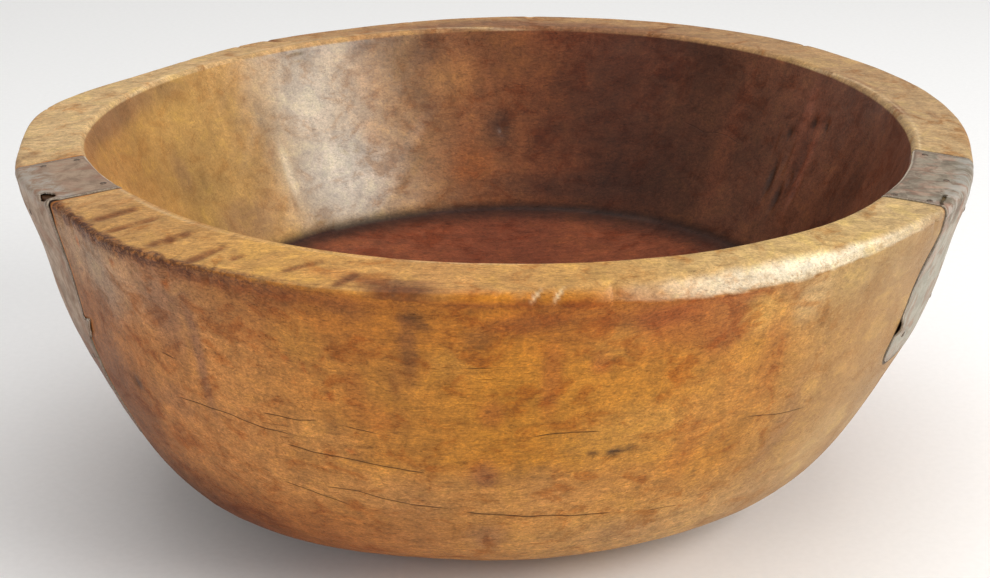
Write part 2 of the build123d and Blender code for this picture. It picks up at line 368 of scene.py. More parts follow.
# Pits, knots and gouges by zone: bearing, height, half width, half height and depth in mm.
PITS = {
    FLANK: [
        (-76.5, 104, 2.6, 1.6, 1.1), (-74.4, 104.6, 4.5, 0.9, 0.5), (-79.2, 105, 1.9, 1.1, 0.6),
        (-99.5, 188, 3.2, 2.2, 0.7), (-138, 117, 2.0, 3.2, 0.6), (117, 141, 3.0, 2.0, 1.0),
        (46, 120, 2.2, 1.6, 0.9),
    ],
    WALL: [
        (90, 139.5, 2.6, 2.8, 1.0), (127, 193.6, 6.5, 1.1, 1.1), (132, 103.5, 4.0, 1.2, 1.2),
        (122, 138.5, 3.4, 1.2, 1.2), (119.5, 137, 2.2, 1.0, 0.9), (28.4, 172, 2.2, 3.2, 1.3),
        (24.9, 173, 1.6, 2.4, 1.1), (33.3, 162, 1.7, 2.6, 1.2), (28.4, 139.5, 1.9, 2.2, 1.0),
        (35.8, 155, 1.1, 7.5, 1.0), (33.4, 135, 1.9, 8.5, 1.7), (29.8, 128, 1.8, 6.0, 1.5),
        (27.0, 150, 1.3, 8.0, 1.2), (31.4, 150, 1.2, 9.0, 1.2), (25.4, 136, 1.4, 7.0, 0.9),
        (30.5, 184, 1.6, 5.0, 0.9), (-60, 150, 2.4, 2.0, 0.9), (-118, 163, 2.0, 1.6, 0.8),
    ],
}

# Chips broken out of the rim's outer edge: bearing, half width, depth in mm. Those with a bearing
# between these two are pale: partly fresh wood, partly a painted highlight.
PALE_GLINT_CHIPS = (-88.0, -83.0)
CHIPS = [
    (-147.5, 3.0, 1.6), (-144.5, 2.2, 1.3), (-141.8, 1.8, 1.0), (-137.8, 2.4, 1.4), (-133.2, 1.9, 0.9),
    (-126.2, 3.4, 1.9), (-121.0, 2.4, 1.4), (-116.0, 1.8, 0.8), (-101.5, 2.6, 1.0), (-90.6, 1.5, 1.2),
    (-87.0, 1.9, 1.7), (-84.7, 1.9, 1.7), (-79.0, 1.8, 1.4), (-34.5, 2.4, 1.4), (44.0, 3.0, 1.4),
    (86.0, 4.0, 1.3), (104.0, 2.0, 1.0), (143.0, 4.5, 1.6), (171.0, 2.6, 1.1),
]


def shape_wood(skin):
    """Turns the clean skin into worn, hand-cut wood."""
    p, bearing, height, out = skin.points, skin.bearing, skin.height, skin.out
    inside, rim, edge, flank = (skin.on(zone) for zone in (WALL, RIM, CORNER, FLANK))
    around = np.stack([skin.round / MM * np.radians(bearing), height, np.zeros_like(height)], -1) * MM
    # The carver's unevenness and, inside, long scraper facets running down the wall.
    amount = 0.7 * fractal(p, 0.085, 3) + 0.22 * fractal(p, 0.024, 7)
    facets = fractal(around, 0.016, 11, stretch=(1.0, 4.5, 1.0))
    amount += np.where(inside, 0.32 * facets, 0.0)
    amount += np.where(flank, 0.16 * fractal(around, 0.013, 19, stretch=(1.0, 3.0, 1.0)), 0.0)
    amount += np.where(rim, 0.18 * fractal(p, 0.012, 23, stretch=(3.0, 1.0, 1.0)), 0.0)
    # Ragged outer edge on the left, where the corner was left sharper.
    ragged = skin.towards(-122.0, 34.0) * edge
    near_edge = np.where(edge | flank, hump(height, TOP / MM - 7.0, 9.0), hump(out, RIM_WIDTH / MM, 9.0))
    rough = 1.0 * fractal(p, 0.009, 29) + 0.7 * fractal(p, 0.0042, 31)
    amount += near_edge * np.where(ragged > 0.0, ragged, 0.12) * rough
    for middle, half, depth in CHIPS:
        amount -= depth * hump(skin.beside(middle), 0.0, half) * near_edge
    for start, end, half, depth in STROKES:
        along, off = stroke_coordinates(skin, start, end)
        cut = plateau(along, (-0.05, 0.25), (0.8, 1.05))
        # One flank of each cut is steep and the other one shallow.
        profile = np.where(off > 0.0, hump(off, 0.0, 0.7 * half), hump(off, 0.0, 1.3 * half))
        amount -= np.where(rim | edge, depth * cut * profile, 0.0)
    for where, pits in PITS.items():
        for middle, level, half, tall, depth in pits:
            spot = (skin.beside(middle) / half) ** 2 + ((height - level) / tall) ** 2
            amount -= np.where(skin.on(where), depth * np.exp(-spot), 0.0)
    # The foot's edge stays where it is.
    amount *= np.where(flank, smoothstep(0.0, 6.0, height), 1.0)
    skin.push(amount * MM)
    skin.points[..., 2] = np.maximum(skin.points[..., 2], 0.0)


def stroke_coordinates(skin, start, end):
    """Share of the way along a stroke over the rim, and millimetres to its side."""
    first, last = (np.array([0.0, s[1]]) for s in (start, end))
    last[0] = math.radians(end[0] - start[0]) * (MOUTH_RADIUS / MM + 15.0)
    run = last - first
    at = np.stack([skin.beside(start[0]), skin.out], -1) - first
    length = np.hypot(*run)
    along = at @ run / length**2
    off = (at[..., 0] * run[1] - at[..., 1] * run[0]) / length
    return along, off


def strap_frame(strap):
    """Origin, across and outward directions of a strap, in metres."""
    middle, run = math.radians(strap["middle"]), math.radians(strap["run"])
    origin = np.array([math.cos(middle), CROSS_GRAIN * math.sin(middle), 0.0]) * MOUTH_RADIUS
    across = np.array([-math.sin(run), math.cos(run), 0.0])
    outwards = np.array([math.cos(run), math.sin(run), 0.0])
    return origin, across, outwards


def strap_edge_distance(skin, strap):
    """Millimetres from a strap's outline, positive outside it; far away where it doesn't lie."""
    origin, across, outwards = strap_frame(strap)
    u = (skin.points - origin) @ across / MM
    o = (skin.points - origin) @ outwards / MM
    side = np.abs(u) - 0.5 * strap["width"]
    below = strap["bottom"] - skin.height
    round_by = strap["corner"]
    a, b = np.maximum(side + round_by, 0.0), np.maximum(below + round_by, 0.0)
    distance = np.hypot(a, b) + np.minimum(np.maximum(side, below) + round_by, 0.0) - round_by
    here = skin.on(RIM, CORNER, FLANK) & (o > -40.0)
    return np.where(here, distance, 99.0)


def sink_straps(skin):
    """Lets the straps into the wood."""
    gap = np.minimum.reduce([strap_edge_distance(skin, s) for s in STRAPS.values()])
    skin.strap_gap = np.clip(gap, -20.0, 20.0)
    skin.push(-REBATE * (1.0 - smoothstep(-1.6, 0.7, gap)))


# ---------------- tints
HONEY = (186, 131, 72)
GOLD = (182, 126, 54)
AMBER = (168, 92, 34)
RED_BROWN = (112, 58, 36)
PLUM = (112, 78, 66)
GREY_BROWN = (132, 112, 96)
DARK = (52, 30, 20)
UMBER = (104, 62, 34)
RUSSET = (142, 70, 28)
BURNT = (176, 92, 18)
DUST_AND_SHEEN = (184, 172, 158)
PALE = (206, 172, 120)
CREAM = (222, 200, 166)

# Average colour of each zone by bearing.
FLANK_TOP = {
    -150: (158, 122, 92), -140: (168, 130, 96), -130: (168, 122, 84), -120: (162, 106, 56),
    -110: (164, 100, 38), -90: (172, 106, 30), -80: (162, 96, 34), -70: (160, 98, 42),
    -50: (168, 134, 84), -30: (156, 124, 88), 10: (164, 120, 74), 60: (166, 110, 60), 110: (158, 104, 58),
    160: (152, 104, 68),
}
FLANK_MIDDLE = {
    -150: (138, 86, 48), -140: (150, 92, 44), -130: (174, 114, 60), -120: (182, 122, 64),
    -110: (176, 116, 52), -90: (178, 116, 34), -70: (182, 120, 42), -60: (176, 118, 46),
    -50: (168, 124, 70), -30: (162, 128, 86), 10: (162, 118, 74), 60: (166, 116, 66), 110: (164, 112, 62),
    160: (146, 102, 66),
}
FLANK_LOW = {
    -150: (100, 60, 30), -140: (108, 62, 26), -130: (114, 60, 22), -120: (144, 84, 36),
    -110: (164, 102, 50), -90: (182, 128, 68), -80: (188, 138, 78), -70: (194, 146, 84),
    -50: (178, 138, 90), -30: (162, 126, 86), 10: (148, 106, 68), 60: (148, 102, 64), 110: (140, 94, 58),
    160: (118, 78, 50),
}
WALL_TINT = {
    -170: (178, 128, 74), -140: (150, 96, 54), -90: (128, 76, 46), -40: (112, 64, 42), -10: (104, 60, 40),
    22: (98, 57, 38), 38: (102, 60, 40), 52: (82, 46, 28), 68: (80, 40, 20), 82: (106, 56, 28),
    # Round bearings 122 and 132 the wall is paler: partly dust, partly a painted reflection of the window.
    98: (134, 83, 47), 112: (150, 112, 70), 122: (166, 144, 116), 132: (172, 146, 112),
    140: (176, 134, 76), 157: (184, 142, 76), 172: (178, 130, 70),
}
RIM_TINT = {
    -172: (202, 168, 120), -142: (176, 130, 76), -112: (194, 144, 76), -98: (184, 134, 76),
    -82: (184, 138, 76), -66: (178, 144, 90), -52: (178, 146, 92), -38: (182, 152, 106),
    10: (170, 138, 98), 60: (164, 124, 82), 110: (178, 134, 86), 150: (200, 164, 114),
}
FLOOR_TINT = (126, 66, 40)
TO_TOP = (146.0, 184.0)  # heights over which the flank's colour turns into its top one
TO_LOW = (42.0, 88.0)  # heights over which it comes out of its low one

# Stains by zone: bearing, height in mm (on the rim, distance out from the mouth), half width, half
# height, colour and strength.
STAINS = {
    FLANK: [
        (-92, 80, 110, 22, (192, 140, 86), 0.45), (-74, 114, 40, 22, (198, 148, 76), 0.35),
        (-143, 98, 30, 34, (114, 66, 32), 0.7), (-68, 172, 44, 13, AMBER, 0.45),
        (-74, 180, 26, 8, RUSSET, 0.6), (-64, 184, 26, 5, RUSSET, 0.5), (-66, 160, 12, 10, RUSSET, 0.4),
        (-85, 150, 6, 26, AMBER, 0.55), (-79.5, 158, 6, 7, AMBER, 0.8), (-91.5, 133, 7, 9, AMBER, 0.55),
        (-92, 96, 9, 12, AMBER, 0.45), (-104, 130, 16, 10, AMBER, 0.35), (-106, 146, 7, 12, AMBER, 0.35),
        (-88, 184, 24, 7, RUSSET, 0.5), (-93, 176, 10, 8, UMBER, 0.4), (-99.5, 186, 7, 3.5, DARK, 0.6),
        (-98.5, 181, 4.5, 3.5, DARK, 0.5), (-100, 168, 5, 26, UMBER, 0.6),
        (-101.5, 150, 3.5, 12, UMBER, 0.4), (-106, 189, 16, 5, UMBER, 0.5),
        (-115, 188, 20, 5, UMBER, 0.45), (-128, 172, 14, 30, PLUM, 0.4), (-124.5, 150, 4, 42, PLUM, 0.5),
        (-131, 118, 18, 12, PLUM, 0.2), (-139, 176, 22, 30, GREY_BROWN, 0.5),
        (-142, 130, 12, 30, GREY_BROWN, 0.1), (-138, 117, 5, 5, DARK, 0.7),
        (-101, 66, 20, 28, PLUM, 0.12), (-92, 94, 8, 10, PLUM, 0.3), (-92.5, 51, 12, 12, PLUM, 0.4),
        (-84, 82, 12, 20, HONEY, 0.5), (-78, 168, 16, 14, GOLD, 0.6),
        (-60, 172, 16, 12, (202, 154, 78), 0.7), (-64, 128, 30, 30, HONEY, 0.25),
        (-111, 112, 22, 16, HONEY, 0.45), (-96, 160, 12, 12, GOLD, 0.5), (-112, 168, 16, 14, GOLD, 0.4),
        (-58, 150, 9, 36, AMBER, 0.3), (-67, 100, 9, 24, AMBER, 0.3), (-52, 96, 8, 40, PLUM, 0.25),
        (-71, 44, 26, 12, PLUM, 0.3), (-54, 176, 12, 16, PALE, 0.4), (-45, 160, 10, 30, UMBER, 0.1),
        # The pale patch at bearing -41, height 74 is a painted sheen on the flank's right.
        (-41, 74, 22, 30, PALE, 0.3), (-76.5, 104, 5, 3, DARK, 0.85), (-75, 104.6, 9, 2.2, DARK, 0.6),
        (-79.2, 105, 3.4, 2, DARK, 0.75), (-113.5, 158, 2.4, 2.4, AMBER, 0.9),
        (-111.5, 154, 1.8, 2.0, AMBER, 0.9), (-108.8, 139, 2.4, 2.0, AMBER, 0.9),
        (-121.7, 106, 2.2, 2.0, AMBER, 0.8), (-107.5, 108, 2.6, 2.2, AMBER, 0.8),
        (-143.5, 186, 2.6, 2.6, AMBER, 0.9), (-134.5, 188, 2.4, 2.2, AMBER, 0.9),
        (-126.5, 186, 2.8, 2.4, AMBER, 0.9), (117, 141, 6, 4, DARK, 0.6), (46, 120, 5, 4, DARK, 0.6),
        (60, 168, 60, 16, AMBER, 0.35), (100, 160, 10, 50, PLUM, 0.4), (140, 120, 26, 40, PLUM, 0.35),
        (8, 120, 14, 60, PLUM, 0.25), (25, 150, 34, 30, HONEY, 0.35), (170, 150, 26, 40, GREY_BROWN, 0.4),
    ],
    RIM: [
        (-102, 25, 22, 5, (118, 74, 46), 0.75), (-101, 31.5, 19, 5, (92, 42, 16), 0.85),
        (85, 7, 130, 15, (120, 76, 50), 0.8), (-92, 31, 26, 4, BURNT, 0.35), (-77, 29, 40, 6, AMBER, 0.3),
        (-108, 22, 22, 8, AMBER, 0.3), (-60, 12, 60, 12, PALE, 0.25), (8, 1, 20, 3, RED_BROWN, 0.6),
        (5, 18, 12, 3, UMBER, 0.4), (22, 3, 24, 3, RED_BROWN, 0.4), (-32, 26, 6, 8, UMBER, 0.3),
        (-168, 30, 8, 5, UMBER, 0.35),
    ],
    WALL: [
        (172, 195, 90, 9, PLUM, 0.5), (158, 152, 26, 40, PLUM, 0.12), (150, 112, 30, 16, PLUM, 0.45),
        # The ash and cream patches from bearing 123 to 135 are partly dust and partly a painted reflection
        # of the window.
        (160, 150, 9, 14, PLUM, 0.3), (121, 197, 56, 6, GREY_BROWN, 0.5), (128, 170, 20, 26, DUST_AND_SHEEN, 0.35),
        (123, 126, 40, 24, DUST_AND_SHEEN, 0.5), (135, 132, 4, 18, CREAM, 0.6), (115, 146, 10, 8, HONEY, 0.35),
        (114, 176, 12, 16, HONEY, 0.25), (90, 140, 11, 12, DARK, 0.6), (86, 180, 30, 12, UMBER, 0.4),
        (96, 122, 16, 14, AMBER, 0.5), (99, 170, 20, 18, HONEY, 0.25), (103, 186, 16, 10, UMBER, 0.4),
        (78, 150, 30, 30, DARK, 0.2), (60, 130, 60, 40, DARK, 0.25), (70, 188, 60, 14, RED_BROWN, 0.25),
        (28, 160, 9, 34, RED_BROWN, 0.5), (31, 176, 5, 20, (150, 88, 66), 0.35),
        (26, 150, 4, 30, (140, 78, 58), 0.3), (18, 160, 4, 24, (134, 82, 56), 0.3),
        (46, 150, 8, 46, RED_BROWN, 0.3), (8, 140, 20, 50, DARK, 0.3), (33.4, 135, 3.6, 10, DARK, 0.9),
        (29.8, 128, 3.2, 8, DARK, 0.8), (28.4, 172, 2.8, 4, DARK, 0.9), (24.9, 173, 2.2, 3, DARK, 0.9),
        (33.3, 162, 2.6, 4, DARK, 0.85), (28, 150, 6, 22, DARK, 0.5), (-60, 140, 60, 40, DARK, 0.2),
        (76, 110, 60, 10, DARK, 0.5),
    ],
    FLOOR: [
        (90, 88, 40, 30, (92, 42, 26), 0.4),
    ],
}


def by_bearing(stops, bearing):
    """Colour between listed stops round the bowl, as linear numbers."""
    colours = {angle: linear(colour) for angle, colour in stops.items()}
    return np.stack([round_about({a: c[k] for a, c in colours.items()}, bearing) for k in range(3)], -1)


def corner_share(skin):
    """0 at the rim's end of the worn corner, 1 at the flank's end and beyond."""
    return np.clip(np.cumsum(skin.zone == CORNER, axis=1) / CORNER_ROWS, 0.0, 1.0)


def bare_edge_and_highlight(skin):
    """Where the corner is worn to bare, polished wood, from 0 to 1. Its near-white tint is partly a painted
    highlight.
    """
    patchy = fractal(skin.points, 0.006, 89, octaves=3)
    bare_and_highlight = plateau(corner_share(skin) + 0.10 * patchy, (0.02, 0.5), (0.93, 1.02))
    return bare_and_highlight * skin.on(CORNER) * smoothstep(-0.9, 0.0, patchy) * skin.towards(-56.0, 26.0) ** 0.8


def edge_patches(skin):
    """Small patches that break up whatever has settled on the rim's edge, from -1 to 1."""
    return fractal(skin.points, 0.006, 83, octaves=3)


def crusted(skin):
    """Where dirt is crusted on the sharper part of the rim's edge, from 0 to 1."""
    patchy = edge_patches(skin)
    to_edge = (skin.round[:, EDGE_ROW : EDGE_ROW + 1] - skin.round) / MM
    from_top = TOP / MM - skin.height
    band = np.where(skin.on(RIM), 1.0 - smoothstep(1.0, 3.5, to_edge + 2.5 * patchy), 1.0)
    band *= skin.on(RIM, CORNER, FLANK) * (1.0 - smoothstep(5.5, 10.0, from_top + 4.0 * patchy))
    return band * skin.towards(-138.0, 32.0) ** 0.4


def blend(tint, weight, colour):
    """A tint turned towards a colour by a weight from 0 to 1 at each point."""
    return tint + (linear(colour) - tint) * weight[..., None]


def average_tint(skin):
    """The average colours of the zones, running into each other."""
    bearing = skin.bearing
    high = smoothstep(*TO_TOP, skin.height)[..., None]
    low = (1.0 - smoothstep(*TO_LOW, skin.height))[..., None]
    flank = by_bearing(FLANK_MIDDLE, bearing) * (1 - high) + by_bearing(FLANK_TOP, bearing) * high
    flank = flank * (1 - low) + by_bearing(FLANK_LOW, bearing) * low
    tint = by_bearing(RIM_TINT, bearing)
    wall, floor = by_bearing(WALL_TINT, bearing), linear(FLOOR_TINT)
    for zone, colour in ((FLANK, flank), (WALL, wall), (FLOOR, floor)):
        tint = np.where(skin.on(zone)[..., None], colour, tint)
    # The rim's colour turns into the flank's over the worn corner.
    share = corner_share(skin)[..., None] ** 2
    return np.where(skin.on(CORNER)[..., None], tint * (1 - share) + flank * share, tint)


def add_stains(skin, tint):
    """Lays the stains, the wall's patches and the blade's strokes over a tint."""
    warp_a, warp_b = (5.0 * fractal(skin.points, 0.030, seed, octaves=3) for seed in (41, 43))
    for where, stains in STAINS.items():
        zones = (RIM, CORNER) if where == RIM else (where,)
        level_at = skin.out if where == RIM else skin.height
        for middle, level, half, tall, colour, strength in stains:
            reach = min(1.0, half / 12.0)
            a = (skin.beside(middle) + reach * warp_a) / half
            b = (level_at + reach * warp_b - level) / tall
            weight = strength * (1.0 - smoothstep(0.25, 1.0, np.hypot(a, b) / 1.25)) * skin.on(*zones)
            tint = blend(tint, weight, colour)
    # Darker and lighter patches that run down the inner wall.
    patches = fractal(skin.points, 0.022, 101, octaves=4, stretch=(1.0, 1.0, 1.8))
    tint = tint * (1.0 + 0.42 * patches * skin.on(WALL))[..., None]
    worn = smoothstep(-0.9, 0.15, fractal(skin.points, 0.006, 97, octaves=3)) * skin.on(RIM, CORNER)
    ragged = 1.0 + 0.07 * warp_a
    for start, end, half, _ in STROKES:
        along, off = stroke_coordinates(skin, start, end)
        cut = plateau(along, (-0.1, 0.15), (0.8, 1.1))
        weight = 0.95 * cut * hump(off, 0.3 * half, 1.6 * half * ragged) * worn
        tint = blend(tint, weight, (112, 64, 30))
    return tint


def fresh_wood_and_glint(skin, share):
    """Where the chips are pale, partly fresh wood and partly a painted highlight, from 0 to 1."""
    fresh_and_glint = np.zeros_like(share)
    for middle, half, _ in CHIPS:
        if PALE_GLINT_CHIPS[0] < middle < PALE_GLINT_CHIPS[1]:
            slanted = skin.beside(middle) + 5.0 * (share - 0.5)
            fresh_and_glint += 0.9 * hump(slanted, 0.0, 0.9 * half) * hump(share, 0.5, 0.6)
    return np.clip(fresh_and_glint, 0.0, 0.9) * skin.on(CORNER)


def wood_tint(skin):
    """The slow changes of the wood's colour over the whole skin."""
    tint = add_stains(skin, average_tint(skin))
    share, patchy = corner_share(skin), edge_patches(skin)
    # Painted shade: a dark line round the floor's crease.
    crease_shade = hump(skin.height, FLOOR_EDGE / MM + 0.5, 6.0) * skin.on(WALL, FLOOR) * 0.9
    crease_shade *= smoothstep(140.0, 160.0, skin.round / MM)
    # Wax and dirt have turned the corner amber nearer the front, and dark red left of that.
    waxed = round_about(AMBER_EDGE, skin.bearing)
    under = skin.on(FLANK, CORNER) * hump(TOP / MM - skin.height, 9.0, 4.5) * waxed
    line = hump(share, 0.62, 0.62) * skin.on(CORNER)
    burnt = line * hump(skin.beside(-100.5), 0.0, 21.0) ** 0.6 * smoothstep(-1.0, 0.2, patchy)
    layers = (
        (crease_shade, (40, 24, 18)), (0.7 * under, (124, 60, 22)),
        (0.9 * line * waxed * smoothstep(-0.9, 0.1, patchy), (190, 118, 26)), (0.85 * burnt, (98, 44, 16)),
        # Near-white on the bare corner: partly worn wood, partly a painted highlight.
        (0.7 * crusted(skin), (118, 66, 36)), (0.85 * bare_edge_and_highlight(skin), (230, 213, 180)),
        (fresh_wood_and_glint(skin, share), (226, 200, 160)),
        # Painted highlight: a thin pale line along the mouth's edge.
        (0.3 * hump(skin.out, 0.2, 1.3) * skin.on(RIM), (232, 206, 166)),
    )
    for weight, colour in layers:
        tint = blend(tint, weight, colour)
    return tint


def crack_fields(skin):
    """Signed millimetres from the nearest split, and how open it is there."""
    distance = np.full(skin.height.shape, 99.0)
    opening = np.zeros_like(distance)
    wobble = 0.9 * fractal(skin.points, 0.011, 53, octaves=2, stretch=(1.0, 1.0, 30.0))
    for zone, cracks in ((FLANK, CRACKS), (WALL, WALL_CRACKS)):
        for width, line in cracks:
            angles, levels = (np.array(v, float) for v in zip(*line))
            off = skin.height - np.interp(skin.bearing, angles, levels) - wobble
            first, last = (angles[0], angles[0] + 1.6), (angles[-1] - 1.6, angles[-1])
            ends = plateau(skin.bearing, first, last)
            near = skin.on(zone) & (np.abs(off) < np.abs(distance)) & (ends > 0.0)
            distance = np.where(near, off, distance)
            opening = np.where(near, width * ends, opening)
    return distance, opening


def polish(skin):
    """How polished the wood is by hands and scraping, from 0 to 1."""
    wall = 0.45 + 0.35 * skin.towards(123.0, 16.0) - 0.33 * skin.towards(62.0, 40.0)
    shine = skin.on(WALL) * wall
    shine = shine * smoothstep(FLOOR_EDGE / MM + 2.0, FLOOR_EDGE / MM + 9.0, skin.height)
    shine = shine + 0.10 * skin.on(FLOOR) * (1.0 - smoothstep(0.135, 0.155, skin.round))
    shine = shine + 0.14 * skin.on(RIM, CORNER)
    return np.clip(shine + 0.08 * skin.on(FLANK) + 0.85 * bare_edge_and_highlight(skin), 0.0, 1.0)


def calmness(skin):
    """How even the wood's grain and blotches are, from 0 to 1."""
    wall = (0.12 + 0.4 * skin.towards(165.0, 60.0)) * skin.on(WALL)
    front_right = 0.6 * skin.towards(-38.0, 26.0) * skin.on(FLANK)
    return wall + 0.12 * skin.on(RIM) + 0.2 * skin.on(CORNER) + front_right


# ================ meshes
def grid_faces(columns, rows, closed):
    """Quads of a grid of columns by rows whose points are numbered column by column."""
    column = np.arange(columns if closed else columns - 1)
    row = np.arange(rows - 1)
    a = (column[:, None] * rows + row[None, :]).ravel()
    b = (((column + 1) % columns)[:, None] * rows + row[None, :]).ravel()
    return np.stack([a, a + 1, b + 1, b], -1)


def add_object(name, data):
    piece = bpy.data.objects.new(name, data)
    bpy.context.scene.collection.objects.link(piece)
    return piece


def new_mesh(name, points, faces, material):
    mesh = bpy.data.meshes.new(name)
    mesh.from_pydata(points.reshape(-1, 3).tolist(), [], [list(f) for f in faces])
    mesh.validate()
    mesh.shade_smooth()
    mesh.materials.append(material)
    piece = add_object(name, mesh)
    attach(piece, "root")
    return piece


def store(piece, name, values):
    """Keeps one number or one colour for every point of a mesh."""
    values = np.asarray(values, np.float32)
    if values.ndim == 2:
        layer = piece.data.attributes.new(name, "FLOAT_COLOR", "POINT")
        rgba = np.ones((len(values), 4), np.float32)
        rgba[:, :3] = values
        layer.data.foreach_set("color", rgba.ravel())
    else:
        layer = piece.data.attributes.new(name, "FLOAT", "POINT")
        layer.data.foreach_set("value", values)


def build_bowl(skin, material):
    """The wood as one closed mesh, with its colour and its splits stored on its points."""
    columns, rows = skin.height.shape
    inner = skin.points[:, 1:-1]
    ends = np.stack([skin.points[0, 0], skin.points[0, -1]])
    points = np.concatenate([inner.reshape(-1, 3), ends])
    faces = grid_faces(columns, rows - 2, closed=True).tolist()
    middle, base = len(points) - 2, len(points) - 1
    for k in range(columns):
        after = (k + 1) % columns
        faces.append([middle, k * (rows - 2), after * (rows - 2)])
        faces.append([base, after * (rows - 2) + rows - 3, k * (rows - 2) + rows - 3])
    piece = new_mesh("carved_bowl", points, faces, material)

    def kept(values):
        flat = values[:, 1:-1].reshape(-1, *values.shape[2:])
        return np.concatenate([flat, values[:1, 0], values[:1, -1]])

    distance, opening = crack_fields(skin)
    fields = {
        "tint": wood_tint(skin), "split": distance, "opening": opening, "gloss": polish(skin),
        "crust": crusted(skin), "calm": calmness(skin), "bare_and_highlight": bare_edge_and_highlight(skin),
        "strap_gap": skin.strap_gap,
    }
    for name, values in fields.items():
        store(piece, name, kept(values))
    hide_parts("bowl")


# ================ straps
def skin_under(skin, strap):
    """Tree of the bowl's skin round a strap, for casting rays at it."""
    angle = turn(column_angles(), strap["middle"])
    order = np.argsort(angle)
    order = order[np.abs(angle[order]) < FOUND_AROUND]
    block = skin.points[order][:, FLOOR_ROWS + WALL_ROWS - 9 :]
    faces = grid_faces(block.shape[0], block.shape[1], closed=False)
    corners = [Vector(p) for p in block.reshape(-1, 3)]
    return BVHTree.FromPolygons(corners, faces.tolist())


def strap_sections(skin, strap):
    """Points of the skin under a strap on a 1 mm table: place across it by length from the mouth."""
    tree = skin_under(skin, strap)
    origin, across, outwards = strap_frame(strap)
    reach = int(0.5 * strap["width"]) + 14
    far = 0.35
    table = []
    for u in range(-reach, reach + 1):
        start = origin + across * u * MM - outwards * 0.05
        start[2] = TOP - 3.0 * MM
        mouth = tree.ray_cast(Vector(start), Vector(outwards))[0]
        hub = np.array(mouth) + outwards * HUB_OUT
        hub[2] = TOP - HUB_DEPTH
        line = []
        for angle in np.radians(np.arange(*FAN)):
            ray = outwards * math.cos(angle) + np.array([0.0, 0.0, math.sin(angle)])
            hit = tree.ray_cast(Vector(hub + ray * far), Vector(-ray))[0]
            past_mouth = hit is not None and (np.array(hit) - np.array(mouth)) @ outwards > 1.0 * MM
            if past_mouth or line:
                line.append(np.array(hit if hit is not None else line[-1]))
        line = np.array(line)
        steps = np.linalg.norm(np.diff(line, axis=0), axis=1)
        length = np.concatenate([[0.0], np.cumsum(steps)]) / MM
        at = np.arange(0.0, strap["length"] + 1.0)
        table.append(np.stack([np.interp(at, length, line[:, k]) for k in range(3)], -1))
    return np.arange(-reach, reach + 1.0), np.array(table)


def look_up(table, across_at, u, s):
    """Values of a 1 mm table between its points."""
    i = np.clip(u - across_at[0], 0.0, table.shape[0] - 1.001)
    j = np.clip(s, 0.0, table.shape[1] - 1.001)
    a, b = i.astype(int), j.astype(int)
    fa, fb = (i - a)[..., None], (j - b)[..., None]
    near = table[a, b] * (1 - fb) + table[a, b + 1] * fb
    beyond = table[a + 1, b] * (1 - fb) + table[a + 1, b + 1] * fb
    return near * (1 - fa) + beyond * fa


def tongue(height):
    """How far the left strap's tab reaches past its edge at a height in millimetres."""
    low, high, reach = TONGUE
    shape = plateau(height, (low - 1.0, low + 1.0), (high - 1.0, high + 1.0))
    return reach * shape * (0.65 + 0.35 * smoothstep(low, high, height))


